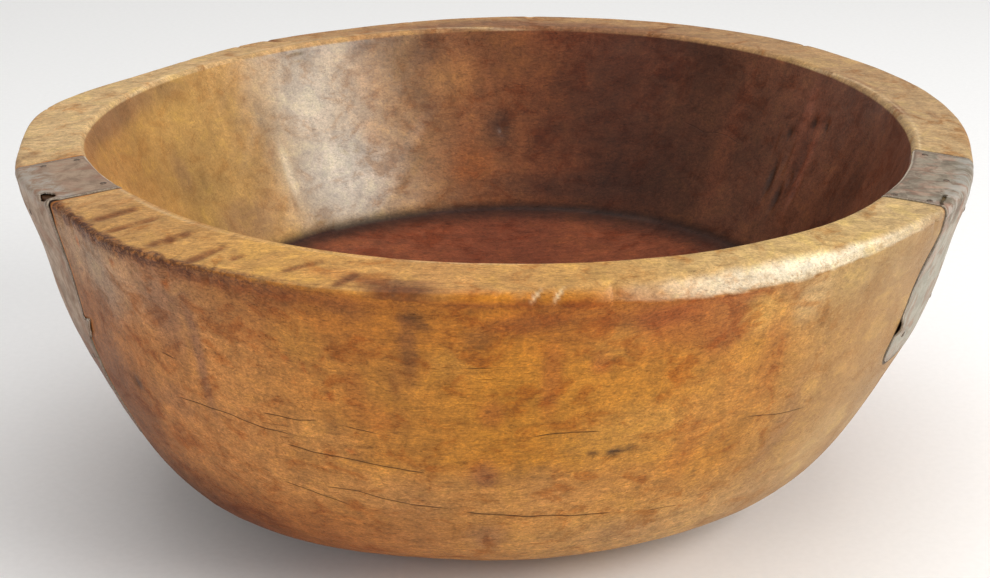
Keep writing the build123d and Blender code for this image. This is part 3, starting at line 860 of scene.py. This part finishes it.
class Sheet:
    """The grid of one strap's points, each with how far across (u) and along (s) the strap it is, in mm."""

    def __init__(self, name, skin):
        self.name, self.strap = name, STRAPS[name]
        self.across_at, self.table = strap_sections(skin, self.strap)
        self.along_at = np.arange(self.table.shape[1])
        self.facing = np.cross(np.gradient(self.table, axis=1), np.gradient(self.table, axis=0))
        self.facing /= np.linalg.norm(self.facing, axis=-1, keepdims=True)
        half = 0.5 * self.strap["width"]
        self.columns = int(self.strap["width"] / SHEET_CELL)
        self.rows = int(self.strap["length"] / SHEET_CELL)
        ends = self.lower_ends(np.linspace(-half, half, self.columns))[:, None]
        self.s = np.linspace(0.0, 1.0, self.rows)[None, :] * ends
        self.near_line = self.line_at(self.strap["near"] * half)
        self.height = np.interp(self.s, self.along_at, self.near_line[:, 2] / MM)
        self.tab = np.zeros_like(self.s)
        if name == "left_strap":
            self.tab = tongue(self.height)
        # Wavering edges, and the points spread evenly between them.
        self.seed = np.zeros((*self.s.shape, 3))
        self.seed[..., 0] = self.s * MM
        low, high = (
            1.1 * fractal(self.seed + k, 0.030, 61) + 0.45 * fractal(self.seed + k, 0.006, 67)
            for k in (0.0, 0.5)
        )
        low_edge, high_edge = low - half, half + high + self.tab
        share = np.linspace(0.0, 1.0, self.columns)[:, None]
        self.u = low_edge * (1 - share) + high_edge * share
        self.past_edge = self.u - half
        from_high, from_low = high_edge - self.u, self.u - low_edge
        self.from_near = from_high if self.strap["near"] > 0 else from_low
        self.from_edge = np.minimum(np.minimum(from_high, from_low), np.minimum(self.s, ends - self.s))
        self.keep = np.ones((self.columns - 1, self.rows - 1), bool)

    def line_at(self, u):
        """The skin's line down the strap at a distance across it."""
        return look_up(self.table, self.across_at, np.full(len(self.along_at), float(u)), self.along_at)

    def lower_ends(self, u):
        """How long the strap is at each distance across it, with rounded lower corners."""
        round_by = self.strap["corner"]
        past = np.maximum(np.abs(u) - (0.5 * self.strap["width"] - round_by), 0.0)
        low_end = self.strap["bottom"] + round_by - np.sqrt(round_by**2 - past**2)
        return np.array([
            np.interp(-low, -self.line_at(at)[:, 2] / MM, self.along_at) for at, low in zip(u, low_end)
        ])

    def reach_of(self, line, out):
        """How far along a line the strap has come this far out."""
        origin, _, outwards = strap_frame(self.strap)
        return np.argmax((line - origin) @ outwards / MM > out)

    def lay(self):
        """The points of the sheet's outer face and the directions that it faces."""
        tilted = self.s - 0.5 * np.maximum(self.past_edge - 0.5, 0.0) * (self.tab > 0.5)
        place = look_up(self.table, self.across_at, self.u, tilted)
        facing = look_up(self.facing, self.across_at, self.u, tilted)
        lift = SHEET_PROUD / MM + 0.22 * fractal(place, 0.020, 71) + 0.07 * fractal(place, 0.006, 73)
        lift += 0.35 * np.exp(-self.from_near / 3.0) * (0.6 + fractal(self.seed, 0.014, 79))
        lift += self.snip_hole() if self.name == "left_strap" else self.tear_slit()
        self.low = 1.0 - smoothstep(60.0, 150.0, place[..., 2] / MM)
        return place + facing * (lift * MM)[..., None], facing

    def snip_hole(self):
        """Opens the left strap's hole and returns how its lips and the tab stand up."""
        hole_u, hole_out, hole_r, longer = SNIP
        hole_s = self.reach_of(self.line_at(hole_u), hole_out)
        to_hole = np.hypot((self.u - hole_u) / longer, self.s - hole_s - 0.5)
        middle = 0.25 * (to_hole[1:, 1:] + to_hole[:-1, 1:] + to_hole[1:, :-1] + to_hole[:-1, :-1])
        self.keep &= middle > hole_r
        lift = 0.7 * np.exp(-(((to_hole - hole_r - 0.8) / 1.6) ** 2))
        lift += 0.4 * np.exp(-(((self.past_edge + 1.0) / 4.0) ** 2) - ((self.s - hole_s - 6.0) / 7.0) ** 2)
        tab_middle = 0.5 * (TONGUE[0] + TONGUE[1])
        return lift + 1.1 * smoothstep(0.5, 3.0, self.past_edge) * hump(self.height, tab_middle, 8.0)

    def tear_slit(self):
        """Opens the right strap's tear and returns how its lips and the lifted edge stand up."""
        slit_out, slit_long = SLIT
        slant = self.reach_of(self.near_line, slit_out) - 0.22 * self.from_near
        in_slit = (np.abs(self.s - slant) < 0.95) & (self.from_near < slit_long)
        self.keep &= ~(in_slit[1:, 1:] & in_slit[:-1, 1:] | in_slit[1:, :-1] & in_slit[:-1, :-1])
        beyond = (self.s > slant) & (self.s < slant + 14.0)
        lift = 0.7 * beyond * np.exp(-self.from_near / 9.0) * np.exp(-(self.s - slant) / 5.0)
        return lift + 2.2 * hump(self.height, *LIFTED) * np.exp(-self.from_near / 4.0)


def build_strap(name, skin, material):
    """One sheet bent over the rim and down the wall, with its edges, tears and dents."""
    sheet = Sheet(name, skin)
    front, facing = sheet.lay()
    back = front - facing * SHEET
    cells = grid_faces(sheet.columns, sheet.rows, closed=False).reshape(*sheet.keep.shape, 4)
    quads = cells[sheet.keep][:, ::-1]
    count = sheet.columns * sheet.rows
    faces = quads.tolist() + (quads[:, ::-1] + count).tolist()
    directed = {(f[k], f[(k + 1) % 4]) for f in quads.tolist() for k in range(4)}
    rim = [(a, b) for a, b in directed if (b, a) not in directed]
    faces += [[b, a, a + count, b + count] for a, b in sorted(rim)]
    used = np.unique(np.array(faces))
    renumber = np.full(2 * count, -1)
    renumber[used] = np.arange(len(used))
    points = np.concatenate([front.reshape(-1, 3), back.reshape(-1, 3)])[used]
    piece = new_mesh(f"{name}_sheet", points, renumber[np.array(faces)], material)
    sharp = {tuple(sorted((renumber[a + d], renumber[b + d]))) for a, b in rim for d in (0, count)}
    for edge in piece.data.edges:
        edge.use_edge_sharp = tuple(sorted(edge.vertices)) in sharp
    tone = np.full(sheet.s.shape, 0.0 if name == "left_strap" else 1.0)
    fields = {"edge": sheet.from_edge, "along": sheet.s, "tone": tone, "low": sheet.low}
    for label, values in fields.items():
        store(piece, label, np.tile(values.reshape(-1), 2)[used])
    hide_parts(name)
    return BVHTree.FromPolygons([Vector(p) for p in front.reshape(-1, 3)], quads.tolist())


# ================ tacks
TACK_SIDES = 28
TACK_REACH = 20.0 * MM  # further out along a tack than its head
# Profile of a tack from the top of its head down its shank: radius and height in millimetres.
TACK_PROFILE = [
    (0.35, 0.42), (0.8, 0.38), (1.2, 0.30), (1.5, 0.18), (1.68, 0.04), (1.76, -0.14), (1.6, -0.4),
    (0.95, -0.75), (0.8, -1.6), (0.74, -11.0),
]
TACK_CROWN, TACK_TIP = 0.6, -14.0  # heights of the head's middle and of the tip


def loose_parts(mesh):
    """The points of each separate solid in a CAD node."""
    parent = list(range(len(mesh.vertices)))

    def root(k):
        while parent[k] != k:
            parent[k] = parent[parent[k]]
            k = parent[k]
        return k

    places = {}
    for v in mesh.vertices:
        twin = places.setdefault(tuple(round(c, 6) for c in v.co), v.index)
        parent[root(v.index)] = root(twin)
    for edge in mesh.edges:
        parent[root(edge.vertices[0])] = root(edge.vertices[1])
    groups = {}
    for v in mesh.vertices:
        groups.setdefault(root(v.index), []).append(v.co)
    return [np.array(g) for g in groups.values()]


def build_tacks(node, tree, material):
    """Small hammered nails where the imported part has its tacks."""
    points, faces, hollows = [], [], []
    r, z = np.array(TACK_PROFILE).T
    rings = len(r)
    for index, solid in enumerate(loose_parts(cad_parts[node].data)):
        middle = solid.mean(axis=0)
        normal = Vector(np.linalg.svd(solid - middle)[2][0])
        upwards = Vector((*middle[:2], 0.0)).normalized() + Vector((0.0, 0.0, 1.0))
        if normal.dot(upwards) < 0.0:
            normal = -normal
        head = Vector(middle) + normal * TACK_REACH
        place = tree.ray_cast(head, -normal)[0] or Vector(max(solid, key=lambda p: p @ np.array(normal)))
        turn_to = np.array(normal.to_track_quat("Z", "Y").to_matrix())
        seed, first = 100 * len(node) + 7 * index, len(points)
        # Rings of points down the tack, a little uneven, then the middle of its head and its tip.
        way = np.arange(TACK_SIDES)[:, None] * 2.0 * math.pi / TACK_SIDES + np.zeros(rings)
        spot = np.stack([np.cos(way), np.sin(way), 0.4 * z + np.zeros_like(way)], -1)
        uneven = r * (1.0 + 0.09 * value_noise(1.4 * spot + 5.0, seed) * (z > -1.0))
        flat = 0.10 * value_noise(2.2 * r[:, None] * spot + 9.0, seed + 3) * (z > 0.0)
        local = np.stack([uneven * spot[..., 0], uneven * spot[..., 1], z + flat], -1).reshape(-1, 3)
        local = np.concatenate([local, [(0.0, 0.0, TACK_CROWN), (0.0, 0.0, TACK_TIP)]])
        points += (np.array(place) + local @ turn_to.T * MM).tolist()
        hollows += [*np.tile(np.maximum(0.0, r - 1.2), TACK_SIDES), 0.0, 0.0]
        faces += (grid_faces(TACK_SIDES, rings, closed=True) + first).tolist()
        for k in range(TACK_SIDES):
            one, next_one = first + k * rings, first + (k + 1) % TACK_SIDES * rings
            faces.append([len(points) - 2, one, next_one])
            faces.append([one + rings - 1, len(points) - 1, next_one + rings - 1])
    piece = new_mesh(f"{node}_nails", np.array(points), faces, material)
    store(piece, "skirt", np.array(hollows))
    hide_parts(node)


# ================ shaders
class Shader:
    """Adds nodes to one material and links them."""

    def __init__(self, name):
        self.material = bpy.data.materials.new(name)
        self.material.use_nodes = True
        self.tree = self.material.node_tree
        self.tree.nodes.clear()
        self.place = self.node("ShaderNodeTexCoord").outputs["Object"]

    def node(self, kind, inputs=None, **settings):
        made = self.tree.nodes.new(kind)
        for key, value in settings.items():
            setattr(made, key, value)
        for socket, value in (inputs or {}).items():
            if isinstance(value, bpy.types.NodeSocket):
                self.tree.links.new(value, made.inputs[socket])
            else:
                made.inputs[socket].default_value = value
        return made

    def noise(self, size, detail=3.0, roughness=0.5, distortion=0.0, shift=0.0):
        """Noise whose features are size (x, y, z) millimetres long."""
        scale = [1.0 / (s * MM) for s in size]
        moved = self.node("ShaderNodeMapping", {0: self.place, 1: (shift, shift, shift), 3: scale})
        settings = {0: moved.outputs[0], 2: 1.0, 3: detail, 4: roughness, 8: distortion}
        return self.node("ShaderNodeTexNoise", settings).outputs[0]

    def step(self, value, low, high, to_low=0.0, to_high=1.0):
        """Smooth change from to_low to to_high while value goes from low to high."""
        settings = {0: value, 1: low, 2: high, 3: to_low, 4: to_high}
        return self.node("ShaderNodeMapRange", settings, interpolation_type="SMOOTHSTEP").outputs[0]

    def math(self, operation, a, b=0.0):
        return self.node("ShaderNodeMath", {0: a, 1: b}, operation=operation).outputs[0]

    def times(self, *values):
        total = values[0]
        for value in values[1:]:
            total = self.math("MULTIPLY", total, value)
        return total

    def mix(self, factor, a, b, blend="MIX"):
        a, b = (v if isinstance(v, bpy.types.NodeSocket) else (*v, 1.0) for v in (a, b))
        made = self.node("ShaderNodeMix", {0: factor, 6: a, 7: b}, data_type="RGBA", blend_type=blend)
        return made.outputs[2]

    def paint(self, colour, over, *weights):
        """A colour from 0 to 255 laid over another one by the product of the weights."""
        return self.mix(self.times(*weights), colour, linear(over))

    def stored(self, name, socket="Fac"):
        return self.node("ShaderNodeAttribute", attribute_name=name).outputs[socket]

    def bumps(self, *layers):
        """Normal bent by layers of (height, its size in mm, strength)."""
        normal = {}
        for height, size, strength in layers:
            settings = {"Strength": strength, "Distance": size * MM, "Height": height, **normal}
            normal = {"Normal": self.node("ShaderNodeBump", settings).outputs[0]}
        return normal["Normal"]

    def finish(self, colour, roughness, normal, **others):
        """Sets the shader's own sockets and returns the material."""
        inputs = {"Base Color": colour, "Roughness": roughness, "Normal": normal}
        inputs.update({socket.replace("_", " "): value for socket, value in others.items()})
        shader = self.node("ShaderNodeBsdfPrincipled", inputs)
        self.node("ShaderNodeOutputMaterial", {0: shader.outputs[0]})
        return self.material


def wood_material():
    s = Shader("carved_wood")
    tint = s.stored("tint", "Color")
    gloss = s.stored("gloss")
    # Fibres, figure and handling marks, each with its size along and across the grain.
    fibre = s.noise((11.0, 0.9, 0.9), 5.0, 0.68, 0.5)
    figure = s.noise((42.0, 8.0, 8.0), 5.0, 0.62, 1.4, shift=3.1)
    curl = s.noise((7.0, 4.0, 3.5), 5.0, 0.7, 2.2, shift=17.0)
    drips = s.noise((8.0, 8.0, 50.0), 5.0, 0.6, 0.5, shift=7.7)
    blotch = s.noise((20.0, 20.0, 14.0), 6.0, 0.66, 0.7, shift=1.3)
    speckle = s.noise((1.5, 1.1, 1.1), 3.0, 0.75, shift=5.0)
    fleck = s.noise((4.4, 2.4, 1.8), 4.0, 0.7, 0.9, shift=11.0)
    # Each noise with the range it is read over, and the dark and light that it gives.
    shades = (
        (fibre, 0.25, 0.75, 0.91, 1.09), (figure, 0.30, 0.70, 0.86, 1.13), (drips, 0.32, 0.68, 0.86, 1.12),
        (curl, 0.32, 0.68, 0.82, 1.18), (speckle, 0.25, 0.75, 0.76, 1.24), (fleck, 0.36, 0.50, 0.78, 1.04),
    )
    shade = s.times(*(s.step(*row) for row in shades))
    grey = s.node("ShaderNodeCombineColor", {0: shade, 1: shade, 2: shade}).outputs[0]
    grey = s.mix(s.stored("calm"), grey, (1.0, 1.0, 1.0))
    colour = s.mix(1.0, tint, grey, "MULTIPLY")
    # Redder and yellower clouds.
    uneven = s.step(s.stored("calm"), 0.1, 0.6, 1.0, 0.3)
    colour = s.mix(s.times(uneven, s.step(blotch, 0.50, 0.66)), colour, (0.78, 0.62, 0.46), "MULTIPLY")
    colour = s.mix(s.step(blotch, 0.50, 0.34), colour, (1.14, 1.16, 0.98), "MULTIPLY")
    # Short dark pores along the grain, in clusters.
    pores = s.step(s.noise((6.0, 0.5, 0.5), 2.0, 0.5, shift=2.0), 0.61, 0.70)
    cluster = s.step(s.noise((26.0, 10.0, 10.0), 3.0, shift=9.0), 0.40, 0.60)
    pores = s.times(pores, cluster)
    colour = s.mix(s.times(pores, 0.6), colour, (0.34, 0.26, 0.20), "MULTIPLY")
    # Crumbling dark crust with orange spots on the sharper edge, and scuffed wood on the bare one, whose
    # pale tint is partly a painted highlight.
    crumb = s.noise((3.0, 2.4, 2.4), 5.0, 0.72, 0.8, shift=15.0)
    crust, bare_and_highlight = s.stored("crust"), s.stored("bare_and_highlight")
    colour = s.paint(colour, (72, 38, 24), crust, s.step(crumb, 0.56, 0.44), 0.9)
    colour = s.paint(colour, (196, 108, 44), crust, s.step(crumb, 0.60, 0.66), 0.7)
    colour = s.paint(colour, (176, 132, 84), bare_and_highlight, s.step(crumb, 0.46, 0.36), 0.7)
    # Splits, and the dark gap round the straps, partly dirt and partly painted shade, with a thin bright
    # lip of wood beyond it.
    far, opening = s.math("ABSOLUTE", s.stored("split")), s.stored("opening")
    ragged = s.times(opening, s.step(speckle, 0.3, 0.7, 0.55, 1.2))
    split = s.times(s.step(s.math("SUBTRACT", far, ragged), 0.24, -0.25), s.step(opening, 0.0, 0.25))
    colour = s.paint(colour, (38, 20, 12), split, 0.8)
    gap = s.stored("strap_gap")
    across = s.node("ShaderNodeSeparateXYZ", {0: s.place}).outputs[0]
    lip = s.times(s.step(gap, 4.0, 3.0), s.step(blotch, 0.36, 0.56, 0.1, 0.6), s.step(across, 0.05, -0.05))
    colour = s.paint(colour, (186, 112, 44), lip)
    # Painted shade, with some dirt, in the seam round the straps.
    colour = s.paint(colour, (30, 18, 13), s.step(gap, 2.6, 1.2), s.step(blotch, 0.3, 0.6, 0.75, 1.0), 0.92)
    rough = s.step(gloss, 0.0, 1.0, 0.52, 0.30)
    rough = s.math("ADD", rough, s.step(blotch, 0.3, 0.7, -0.05, 0.07))
    rough = s.math("ADD", rough, s.times(fibre, 0.08))
    rough = s.math("ADD", rough, s.times(s.math("MAXIMUM", split, pores), 0.3))
    coat = s.times(gloss, s.step(blotch, 0.30, 0.62, 1.0, 0.55))
    crumbs = s.times(crumb, s.math("MAXIMUM", crust, bare_and_highlight))
    dents = s.math("SUBTRACT", 1.0, s.math("MAXIMUM", split, s.times(pores, 0.35)))
    normal = s.bumps(
        (fibre, 0.12, 0.4), (curl, 0.3, 0.35), (drips, 0.5, 0.35), (speckle, 0.16, 0.5), (fleck, 0.25, 0.4),
        (crumbs, 1.6, 0.7), (dents, 0.5, 0.7),
    )
    return s.finish(colour, rough, normal, Specular_IOR_Level=0.2, Coat_Weight=coat, Coat_Roughness=0.25)


def sheet_material():
    s = Shader("weathered_sheet")
    tone, low = s.stored("tone"), s.stored("low")
    edge, along = s.stored("edge"), s.stored("along")
    mottle = s.noise((9.0, 9.0, 9.0), 6.0, 0.68, 0.5)
    patch = s.noise((22.0, 12.0, 16.0), 5.0, 0.62, 1.0, shift=4.0)
    fine = s.noise((1.2, 1.2, 1.2), 4.0, 0.75, shift=2.0)
    streak = s.noise((18.0, 2.0, 2.0), 4.0, 0.65, 0.4, shift=8.0)
    left = s.mix(s.step(mottle, 0.34, 0.66), linear((136, 112, 92)), linear((172, 146, 122)))
    left = s.paint(left, (120, 90, 74), s.step(low, 0.0, 0.6))
    right = s.mix(s.step(mottle, 0.36, 0.64), linear((112, 98, 83)), linear((166, 150, 131)))
    right = s.paint(right, (124, 118, 100), s.step(patch, 0.46, 0.62), 0.45)
    colour = s.mix(tone, left, right)
    # The right strap's leg on the wall is paler.
    colour = s.paint(colour, (170, 167, 152), tone, s.step(along, 38.0, 52.0), 0.6)
    rust = s.times(s.step(patch, 0.52, 0.38), s.step(fine, 0.3, 0.7, 0.55, 1.0))
    colour = s.paint(colour, (134, 86, 62), rust, 0.5)
    pink = s.step(s.noise((12.0, 8.0, 12.0), 4.0, shift=12.0), 0.54, 0.68)
    colour = s.paint(colour, (172, 134, 114), pink, s.step(tone, 0.0, 1.0, 0.3, 0.45))
    colour = s.paint(colour, (206, 196, 180), s.step(streak, 0.56, 0.72), s.step(tone, 0.0, 1.0, 0.15, 0.3))
    # Painted highlight: pale bluish metal where the sheet bends over the rim's corner.
    fold_highlight = s.times(s.step(along, 20.0, 27.0), s.step(along, 46.0, 34.0), s.step(mottle, 0.42, 0.60))
    colour = s.paint(colour, (168, 168, 162), fold_highlight, 0.55)
    dark = s.step(fine, 0.40, 0.26)
    colour = s.paint(colour, (70, 54, 44), dark, 0.55)
    # Dirt along the edges, bright worn metal on their corners, and a painted highlight along the sheet's
    # end at the mouth.
    colour = s.paint(colour, (78, 56, 44), s.step(edge, 3.2, 0.8), s.step(mottle, 0.36, 0.58), 0.6)
    bright = s.times(s.step(edge, 0.7, 0.1), s.step(fine, 0.35, 0.6, 0.2, 0.8))
    # Painted highlight along the sheet's end at the mouth.
    mouth = s.times(s.step(along, 1.6, 0.6), 0.85)
    colour = s.paint(colour, (206, 192, 172), s.math("MAXIMUM", bright, mouth))
    spoilt = s.math("MAXIMUM", rust, dark)
    rough = s.math("ADD", s.step(mottle, 0.3, 0.7, 0.64, 0.48), s.times(spoilt, 0.25))
    metal = s.step(spoilt, 0.0, 0.8, 0.35, 0.05)
    normal = s.bumps((mottle, 0.45, 0.5), (fine, 0.15, 0.6), (streak, 0.08, 0.5))
    return s.finish(colour, rough, normal, Metallic=metal)


def tack_material():
    s = Shader("tack_iron")
    mottle = s.noise((1.6, 1.6, 1.6), 4.0, 0.65)
    fine = s.noise((0.5, 0.5, 0.5), 3.0, shift=3.0)
    colour = s.mix(s.step(mottle, 0.35, 0.68), linear((84, 72, 62)), linear((134, 118, 102)))
    rust = s.times(s.step(fine, 0.48, 0.66), s.step(s.stored("skirt"), 0.0, 0.6, 0.35, 0.9))
    colour = s.paint(colour, (108, 62, 40), rust)
    rough, metal = s.step(rust, 0.0, 1.0, 0.42, 0.78), s.step(rust, 0.0, 1.0, 0.75, 0.1)
    return s.finish(colour, rough, s.bumps((mottle, 0.2, 0.5), (fine, 0.1, 0.6)), Metallic=metal)


# ================ stage
def area_light(name, place, target, size, power, colour=(1.0, 1.0, 1.0)):
    lamp = bpy.data.lights.new(name, "AREA")
    lamp.shape = "RECTANGLE"
    lamp.size, lamp.size_y = size
    lamp.energy = power
    lamp.color = colour
    piece = add_object(name, lamp)
    piece.location = place
    piece.rotation_euler = (Vector(target) - Vector(place)).to_track_quat("-Z", "Y").to_euler()


CAMERA_PLACE = (-0.00502, -1.05404, TOP + 0.31585)
CAMERA_DIP = 21.361  # degrees below level
CAMERA_LENS = 73.64
WINDOW_WAY, WINDOW_AWAY = Vector((0.813, -0.333, 0.476)), 1.9  # from the bowl's middle
STUDIO_FLOOR = (6.0, 24)  # half its side and how many cells it has


def build_stage():
    """Pale floor, soft light from a big window on the right, and the camera."""
    s = Shader("pale_floor")
    grain = s.noise((4.0, 4.0, 4.0), 2.0)
    shade = s.step(grain, 0.3, 0.7, 0.90, 0.92)
    colour = s.node("ShaderNodeCombineColor", {0: shade, 1: shade, 2: shade}).outputs[0]
    material = s.finish(colour, s.step(grain, 0.3, 0.7, 0.85, 0.95), s.bumps((grain, 0.02, 0.1)))
    half, cells = STUDIO_FLOOR
    ticks = np.linspace(-half, half, cells + 1)
    x, y = np.meshgrid(ticks, ticks, indexing="ij")
    points = np.stack([x, y, np.zeros_like(x)], -1)
    mesh = bpy.data.meshes.new("studio_floor")
    faces = grid_faces(cells + 1, cells + 1, closed=False)[:, ::-1]
    mesh.from_pydata(points.reshape(-1, 3).tolist(), [], faces.tolist())
    mesh.materials.append(material)
    add_object("studio_floor", mesh)

    world = bpy.data.worlds.new("studio")
    world.use_nodes = True
    background = world.node_tree.nodes["Background"]
    background.inputs["Color"].default_value = (1.0, 0.99, 0.97, 1.0)
    background.inputs["Strength"].default_value = 0.42
    bpy.context.scene.world = world

    middle = Vector((0.0, 0.0, 0.15))
    window = middle + WINDOW_WAY * WINDOW_AWAY
    area_light("window", window, middle, (1.5, 0.9), 26.0, (1.0, 0.98, 0.95))
    area_light("ceiling", (0.0, 0.2, 2.6), (0.0, 0.0, 0.0), (2.6, 2.6), 34.0)
    area_light("left_front", (-1.5, -1.9, 0.9), middle, (1.6, 1.0), 12.0)

    lens = bpy.data.cameras.new("camera")
    lens.sensor_width = 36.0
    lens.lens = CAMERA_LENS
    lens.clip_start = 0.05
    camera = add_object("camera", lens)
    camera.location = CAMERA_PLACE
    camera.rotation_euler = (math.radians(90.0 - CAMERA_DIP), 0.0, 0.0)
    bpy.context.scene.camera = camera
    bpy.context.scene.view_settings.view_transform = "Standard"


# ================ build
skin = Skin()
shape_wood(skin)
sheet_look, tack_look = sheet_material(), tack_material()
for strap_name in STRAPS:
    sheet_tree = build_strap(strap_name, skin, sheet_look)
    side = strap_name.removesuffix("_strap")
    for group in ("rim", "wall"):
        build_tacks(f"{side}_{group}_tacks", sheet_tree, tack_look)
sink_straps(skin)
build_bowl(skin, wood_material())
build_stage()
